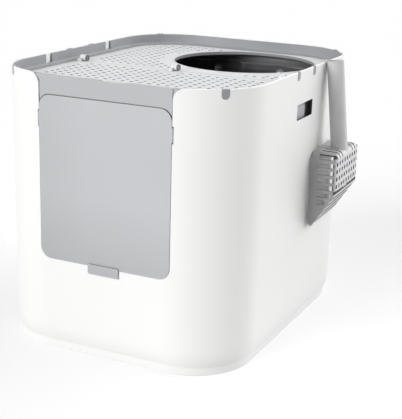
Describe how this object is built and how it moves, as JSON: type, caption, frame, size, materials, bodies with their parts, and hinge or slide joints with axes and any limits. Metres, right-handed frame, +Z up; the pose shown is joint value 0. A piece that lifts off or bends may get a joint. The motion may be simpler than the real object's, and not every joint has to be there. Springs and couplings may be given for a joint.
{
  "type": "top entry litter box",
  "caption": "Upright plastic tub with a perforated folding lid, a round top entry, a removable front panel, a hanging liner and a slotted scoop on its rim.",
  "frame": {"origin": "middle of the tub's flat underside, on the floor", "axes": "+Z up, -Y towards the front panel, +X towards the side that carries the scoop"},
  "size_m": [0.4592, 0.534, 0.4359],
  "materials": {
    "tub_white": "satin moulded white",
    "frame_grey": "fine matt grey",
    "deck_grey": "fine matt light grey",
    "panel_grey": "fine matt light grey",
    "pin_grey": "matt dark grey",
    "liner_cloth": "coated woven sheet",
    "eyelet_grey": "matt grey",
    "scoop_grey": "satin grey"
  },
  "bodies": {
    "tub": {"tub": "tub_white", "liner_bag": "liner_cloth", "liner_eyelets": "eyelet_grey"},
    "lid": {"lid_frame": "frame_grey", "rear_deck": "deck_grey", "hinge_pin_left": "pin_grey", "hinge_pin_middle": "pin_grey", "hinge_pin_right": "pin_grey"},
    "front_flap": {"front_deck": "deck_grey"},
    "front_panel": {"front_panel": "panel_grey"},
    "scoop": {"scoop_head": "scoop_grey", "scoop_handle": "scoop_grey"}
  },
  "joints": [
    {"name": "lid_lift", "type": "slide", "parent": "tub", "child": "lid", "axis": [0, 0, 1], "range_m": [0, 0.12]},
    {"name": "front_flap_fold", "type": "hinge", "parent": "lid", "child": "front_flap", "pos_m": [0, -0.027, 0.4175], "axis": [-1, 0, 0], "range_deg": [0, 180]},
    {"name": "front_panel_pull", "type": "slide", "parent": "tub", "child": "front_panel", "axis": [0, -1, 0], "range_m": [0, 0.08]},
    {"name": "scoop_lift", "type": "slide", "parent": "tub", "child": "scoop", "axis": [0, 0, 1], "range_m": [0, 0.05]}
  ]
}
